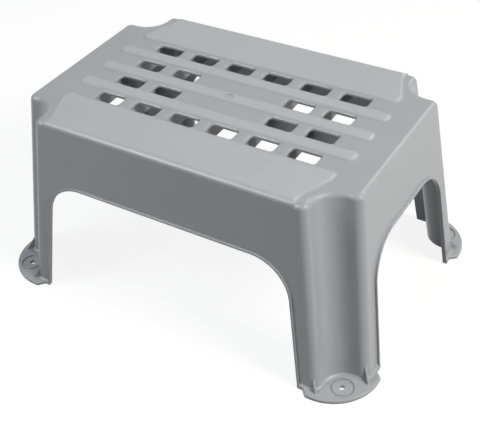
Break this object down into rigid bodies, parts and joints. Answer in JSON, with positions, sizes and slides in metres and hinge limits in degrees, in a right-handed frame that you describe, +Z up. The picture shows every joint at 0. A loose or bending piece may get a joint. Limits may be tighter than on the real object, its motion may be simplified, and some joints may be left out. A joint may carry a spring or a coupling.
{
  "type": "caravan entry step",
  "caption": "Moulded plastic entry step: slotted tread with raised anti-slip strips, arched walls, fluted corner legs and round screw-down feet.",
  "frame": {"origin": "centre of the step's footprint, on the floor", "axes": "+X along the tread's long side, +Y from the front edge to the back edge, +Z up"},
  "size_m": [0.4454, 0.3124, 0.205],
  "materials": {
    "plastic": "satin, fine moulded grain"
  },
  "bodies": {
    "root": {"step_moulding": "plastic"}
  },
  "joints": []
}
